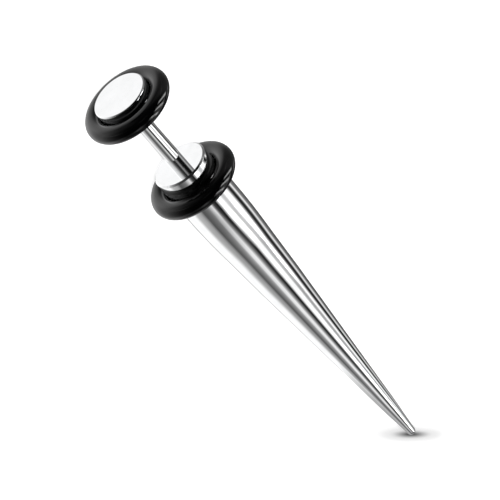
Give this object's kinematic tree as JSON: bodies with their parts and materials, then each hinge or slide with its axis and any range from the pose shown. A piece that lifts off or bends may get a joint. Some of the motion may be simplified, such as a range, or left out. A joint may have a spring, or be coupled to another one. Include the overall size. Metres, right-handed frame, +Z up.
{
  "type": "faux taper earring",
  "caption": "Faux stretching taper: a disc head on a thin post screws into a long pointed steel taper, with a rubber O-ring round each, so a small piercing looks wide.",
  "frame": {"origin": "on the ground under the middle of the earring's box; the earring lies on its back O-ring and its tip", "axes": "+X along the ground from the head towards the tip, +Z up; the earring's own axis tilts 6.4 degrees, head end up"},
  "size_m": [0.0374, 0.0068, 0.0077],
  "materials": {
    "polished_steel": "mirror-polished stainless steel",
    "black_rubber": "smooth glossy black rubber"
  },
  "bodies": {
    "taper": {"taper": "polished_steel", "back_o_ring": "black_rubber"},
    "front_o_ring": {"front_o_ring": "black_rubber"},
    "head": {"head": "polished_steel"}
  },
  "joints": [
    {"name": "back_out", "type": "slide", "parent": "taper", "child": "front_o_ring", "axis": [-0.9938, 0, 0.1112], "range_m": [0, 0.00135]},
    {"name": "unscrew", "type": "hinge", "parent": "front_o_ring", "child": "head", "pos_m": [-0.0173, 0, 0.0043], "axis": [-0.9938, 0, 0.1112], "range_deg": [0, 2160]}
  ],
  "couplings": [
    {"joint": "unscrew", "follows": "back_out", "rad_per_m": 27925}
  ]
}
